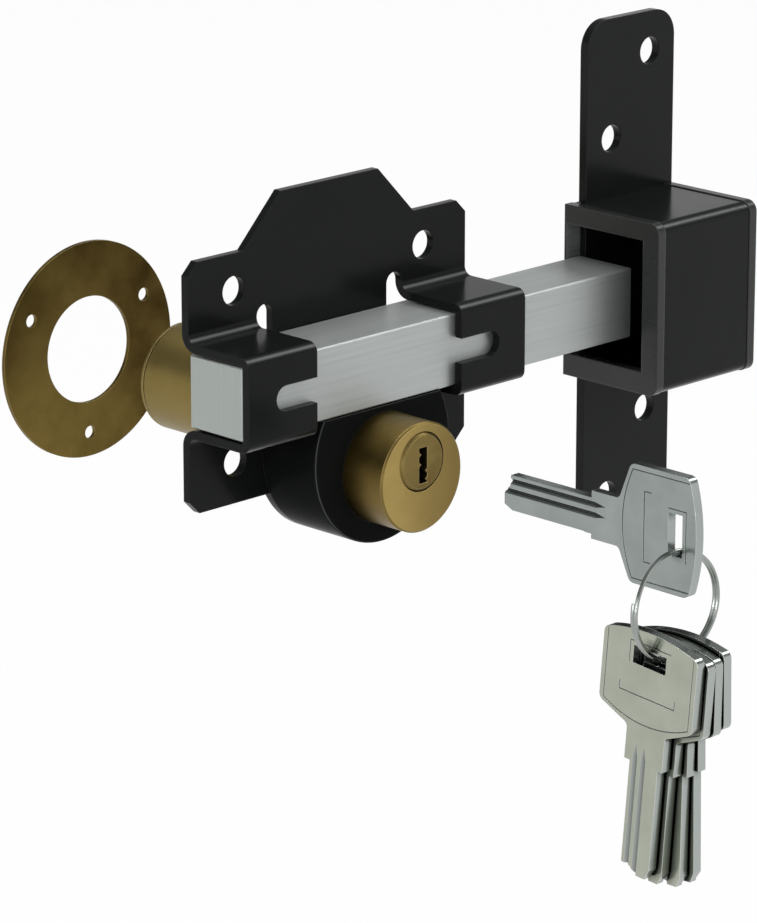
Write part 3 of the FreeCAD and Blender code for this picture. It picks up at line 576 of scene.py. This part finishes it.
def moulded_black():
    tree, shader, place = start_finish("moulded_black")
    cloud = cloud_tone(tree, place, patch_size=0.02, contrast=1.4)
    edge_mask, rounded = round_edge(tree, radius=0.0006, sharpness=5.0, edge_share=0.6)
    colour = mixed_colour(tree, cloud, mould_deep, mould_pale)
    colour = mixed_colour(tree, edge_mask, colour, mould_edge)
    # Painted reflection of the bolt: light and dark streaks on the mouth's rear wall.
    reflection_streaks = place_group(tree, brushed, vector=place, stretch=(60.0, 900.0, 900.0))["Tone"]
    painted_reflection = mixed_colour(tree, reflection_streaks, reflection_dark, reflection_bright)
    colour = mixed_colour(tree, reflection_wall_mask(tree, place), colour, painted_reflection)
    grain = cloud_tone(tree, place, patch_size=0.0004)
    normal = bump(tree, grain, strength=0.12, distance=0.00002, normal=rounded)
    shader["Specular IOR Level"].default_value = mould_gloss
    end_finish(tree, shader, colour, spread(tree, cloud, low=0.22, high=0.32), normal)


moulded_black()
print("finishes", list(finishes))

# %% [markdown]
# Brushed bolt
#
# The bolt is bright square bar, brushed along its length, with its sawn end brushed up and
# down. The same grain group serves both, and the end face is found by its normal. Brushed
# metal also smears its reflections across the scratches, which is the shader's anisotropy.
# Its tangent runs round the bar on the long sides and straight across the end. A little
# less than full metal keeps the part inside the keep's mouth from turning black.

# %% Brushed steel
long_side_dark, long_side_bright = (0.335, 0.355, 0.350), (0.53, 0.55, 0.545)
end_dark, end_bright = (0.365, 0.395, 0.375), (0.455, 0.495, 0.470)
steel_edge_wear_and_highlight = (0.70, 0.71, 0.71)
across_the_end = (0.0, 1.0, 0.0)


def bolt_tangent(tree, at_end):
    around = tree.nodes.new("ShaderNodeTangent")
    around.direction_type = "RADIAL"
    around.axis = "X"
    return mixed(tree, "VECTOR", at_end, around.outputs[0], across_the_end)


def brushed_steel():
    tree, shader, place = start_finish("brushed_steel")
    long_side = place_group(tree, brushed, vector=place, stretch=(40.0, 3600.0, 3600.0))
    end_side = place_group(tree, brushed, vector=place, stretch=(4200.0, 4200.0, 60.0))
    along = math_node(tree, "ABSOLUTE", facing(tree, "true", "X"))
    at_end = math_node(tree, "GREATER_THAN", along, face_on)
    cloud = cloud_tone(tree, place, patch_size=0.03, contrast=1.3)
    edge_mask, rounded = round_edge(tree, radius=0.00018, sharpness=7.0, edge_share=0.5)
    bright = mixed_colour(tree, long_side["Tone"], long_side_dark, long_side_bright)
    dull = mixed_colour(tree, end_side["Tone"], end_dark, end_bright)
    # Edges take a bright tone: partly polish, partly a painted highlight along the bar's edges.
    colour = mixed_colour(tree, edge_mask, mixed_colour(tree, at_end, bright, dull), steel_edge_wear_and_highlight)
    height = mixed(tree, "FLOAT", at_end, long_side["Height"], end_side["Height"])
    normal = bump(tree, height, strength=0.8, distance=0.00003, normal=rounded)
    feed(tree, shader["Tangent"], bolt_tangent(tree, at_end))
    shader["Anisotropic"].default_value = 0.7
    end_finish(tree, shader, colour, spread(tree, cloud, low=0.38, high=0.50), normal, metallic=0.72)


brushed_steel()
print("finishes", list(finishes))

# %% [markdown]
# Turned brass
#
# The cylinders are turned, so the lathe's rings run round their axis, and the plugs get the
# same rings, as if faced off in their cylinder. Rings could be modelled as grooves, but they
# are far too fine. A noise texture that is fed only the distance from the axis and the depth
# gives just such rings. The axis lies lower on the front than on the rear, so its height is
# a value of the finish. The front cylinder's face is given a brighter tone than its sides,
# and a painted shade darkens it towards the keep.

# %% Turned brass
cylinder_axis_z = {"front": -0.0280, "rear": -0.0183}
ring_tone = (0.20, 0.140, 0.045)
brass_edge_wear_and_highlight = (0.62, 0.50, 0.26)
rings_per_metre = 5200.0
face_shade_per_metre = 40.0
face_shade_at_axis = 0.5
face_shade_most = 0.7


def lathe_rings(tree, place, centre_z):
    """The ring texture, and the X of the object, which the painted shade across the face needs."""
    centred = tree.nodes.new("ShaderNodeMapping")
    centred.inputs["Location"].default_value = (0.0, 0.0, -centre_z)
    feed(tree, centred.inputs["Vector"], place)
    at = split_xyz(tree, centred.outputs[0])
    square = math_node(tree, "ADD", times(tree, at["X"], at["X"]), times(tree, at["Z"], at["Z"]))
    path = tree.nodes.new("ShaderNodeCombineXYZ")
    feed(tree, path.inputs["X"], math_node(tree, "SQRT", square))
    feed(tree, path.inputs["Y"], at["Y"])
    return noise(tree, path.outputs[0], rings_per_metre, detail=2.0), at["X"]


def turned_brass(name, side, patch_size, contrast, low, high, face=None):
    """Face is a brighter low and high for the front face, or None where it has no such face."""
    tree, shader, place = start_finish(name)
    rings, x = lathe_rings(tree, place, cylinder_axis_z[side])
    cloud = cloud_tone(tree, place, patch_size, contrast)
    colour = mixed_colour(tree, cloud, low, high)
    if face is not None:
        # Painted shade: the front face darkens towards the keep, along the object's X.
        away = math_node(tree, "MULTIPLY_ADD", x, face_shade_per_metre, face_shade_at_axis)
        bright_face = mixed_colour(tree, cloud, *face)
        shaded_face = mixed_colour(tree, spread(tree, away, low=0.0, high=face_shade_most), bright_face, low)
        to_front = math_node(tree, "LESS_THAN", facing(tree, "object", "Y"), -face_on)
        colour = mixed_colour(tree, to_front, colour, shaded_face)
    colour = mixed_colour(tree, spread(tree, rings, low=0.0, high=0.35), colour, ring_tone)
    edge_mask, rounded = round_edge(tree, radius=0.0004, sharpness=5.0, edge_share=0.45)
    # Edges take a bright tone: partly polish, partly a painted highlight on the chamfer rim.
    colour = mixed_colour(tree, edge_mask, colour, brass_edge_wear_and_highlight)
    normal = bump(tree, rings, strength=0.25, distance=0.00001, normal=rounded)
    end_finish(tree, shader, colour, spread(tree, cloud, low=0.34, high=0.46), normal, metallic=1.0)


turned_brass("front_brass", "front", 0.014, 1.3, (0.110, 0.072, 0.018), (0.270, 0.190, 0.057),
             face=((0.30, 0.208, 0.062), (0.56, 0.415, 0.148)))
turned_brass("plug_brass", "front", 0.014, 2.4, (0.105, 0.069, 0.018), (0.250, 0.185, 0.063))
turned_brass("rear_brass", "rear", 0.024, 1.4, (0.165, 0.120, 0.031), (0.320, 0.246, 0.090))
print("finishes", list(finishes))

# %% [markdown]
# Aged brass sheet
#
# The escutcheon is thin sheet that has aged to a darker, cloudy brown, with small spots on
# top of the large patches. Two cloudy tones of different size, one mixed over the other,
# look like that without any drawn stain.

# %% Aged brass
aged_dark = (0.070, 0.041, 0.008)
aged_pale = (0.200, 0.142, 0.036)
aged_spot = (0.110, 0.072, 0.017)
aged_edge = (0.45, 0.34, 0.16)


def aged_brass():
    tree, shader, place = start_finish("aged_brass")
    cloud = cloud_tone(tree, place, patch_size=0.026, contrast=3.2)
    spots = cloud_tone(tree, place, patch_size=0.0035, contrast=2.0)
    edge_mask, rounded = round_edge(tree, radius=0.0003, sharpness=5.0, edge_share=0.4)
    colour = mixed_colour(tree, cloud, aged_dark, aged_pale)
    colour = mixed_colour(tree, spread(tree, spots, low=0.0, high=0.3), colour, aged_spot)
    colour = mixed_colour(tree, edge_mask, colour, aged_edge)
    normal = bump(tree, spots, strength=0.15, distance=0.00003, normal=rounded)
    end_finish(tree, shader, colour, spread(tree, cloud, low=0.30, high=0.46), normal, metallic=1.0)


aged_brass()
print("finishes", list(finishes))

# %% [markdown]
# Nickel silver keys
#
# The keys are nickel silver, ground flat and tumbled: satin faces with a slight cloud,
# bright rims, and cut sides with a lighter tone of their own, which is partly a painted
# highlight. The flat faces are found by the object's own normal, because the keys swing.
# The recess mask turns faces in a gap or an engraved line nearly black, and cut sides less
# so, by each key's groove share: painted shade in the gaps between keys, dirt in the lines.

# %% Nickel silver
key_rim = (0.80, 0.82, 0.79)
dirt_and_shade_black = (0.020, 0.026, 0.021)
flat_dirt_and_shade = 0.95


def nickel_silver(name, low, high, side, groove_dirt_and_shade):
    tree, shader, place = start_finish(name)
    cloud = cloud_tone(tree, place, patch_size=0.010, contrast=1.6)
    grain = place_group(tree, brushed, vector=place, stretch=(900.0, 900.0, 2600.0))
    across = math_node(tree, "ABSOLUTE", facing(tree, "object", "X"))
    flat = math_node(tree, "GREATER_THAN", across, face_on)
    edge_mask, rounded = round_edge(tree, radius=0.0003, sharpness=5.0, edge_share=0.6)
    # The cut sides get a lighter tone of their own, partly a painted highlight of the light they catch.
    colour = mixed_colour(tree, flat, side, mixed_colour(tree, cloud, low, high))
    colour = mixed_colour(tree, spread(tree, grain["Tone"], low=0.0, high=0.22), colour, low)
    colour = mixed_colour(tree, edge_mask, colour, key_rim)
    # Dirt and painted shade: the recess mask darkens lines, grooves and the gaps between keys nearly to
    # black.
    deep = place_group(tree, recess, distance=0.0030, contrast=2.0)["Mask"]
    dark = times(tree, deep, spread(tree, flat, low=groove_dirt_and_shade, high=flat_dirt_and_shade))
    colour = mixed_colour(tree, dark, colour, dirt_and_shade_black)
    normal = bump(tree, grain["Height"], strength=0.15, distance=0.00001, normal=rounded)
    end_finish(tree, shader, colour, spread(tree, cloud, low=0.14, high=0.26), normal, metallic=1.0)


nickel_silver("key_silver", low=(0.245, 0.275, 0.265), high=(0.36, 0.39, 0.38),
              side=(0.37, 0.40, 0.39), groove_dirt_and_shade=0.9)
nickel_silver("spare_silver", low=(0.34, 0.36, 0.29), high=(0.46, 0.48, 0.41),
              side=(0.40, 0.43, 0.42), groove_dirt_and_shade=0.6)
print("finishes", list(finishes))

# %% [markdown]
# Wire and machined steel
#
# The split ring is polished wire, and the gears, pins and screws inside are machined steel.
# Both are plain bright metal. What sets them apart is the tone and how rough they are, so
# one recipe makes both.

# %% Bright metal


def bright_metal(name, low, high, roughness):
    tree, shader, place = start_finish(name)
    cloud = cloud_tone(tree, place, patch_size=0.004, contrast=1.4)
    colour = mixed_colour(tree, cloud, low, high)
    normal = bump(tree, cloud_tone(tree, place, patch_size=0.0006), strength=0.08, distance=0.00001)
    end_finish(tree, shader, colour, spread(tree, cloud, *roughness), normal, metallic=1.0)


bright_metal("polished_wire", (0.26, 0.28, 0.26), (0.40, 0.42, 0.40), roughness=(0.18, 0.28))
bright_metal("machined_steel", (0.36, 0.37, 0.37), (0.50, 0.51, 0.51), roughness=(0.28, 0.4))
print("finishes", list(finishes))

# %% [markdown]
# Who wears what
#
# The shapes are right as they come, so no piece is replaced. Each one keeps its mesh and
# gets its finish in its material slot. The table is kept by finish, so that pieces cut from
# the same stock stay together.

# %% Dress the nodes
worn_by = {
    "lock_enamel": ["lock_plate"],
    "casing_enamel": ["gear_casing"],
    "strap_enamel": ["keep_strap"],
    "box_enamel": ["keep_box"],
    "moulded_black": ["keep_mouth_cap", "keep_end_cap"],
    "brushed_steel": ["lock_bolt"],
    "front_brass": ["front_cylinder", "front_driver_pins"],
    "plug_brass": ["front_plug", "front_key_pins"],
    "rear_brass": ["rear_cylinder", "rear_plug", "rear_key_pins", "rear_driver_pins"],
    "aged_brass": ["escutcheon"],
    "key_silver": ["main_key"],
    "spare_silver": ["spare_key_1", "spare_key_2", "spare_key_3", "spare_key_4"],
    "polished_wire": ["key_ring"],
    "machined_steel": ["drive_gear", "idler_gear", "idler_stud", "bolt_stop_pin", "tail_bar",
                       "front_plug_clip", "rear_plug_clip", "front_pin_springs", "rear_pin_springs",
                       "casing_screws", "front_cylinder_screws", "rear_cylinder_screws",
                       "cylinder_spacers"],
}
for finish, names in worn_by.items():
    for name in names:
        for slot in node[name].material_slots:
            slot.material = finishes[finish]
dressed = {name for names in worn_by.values() for name in names}
print("dressed", len(dressed), "left", sorted(set(node) - dressed))
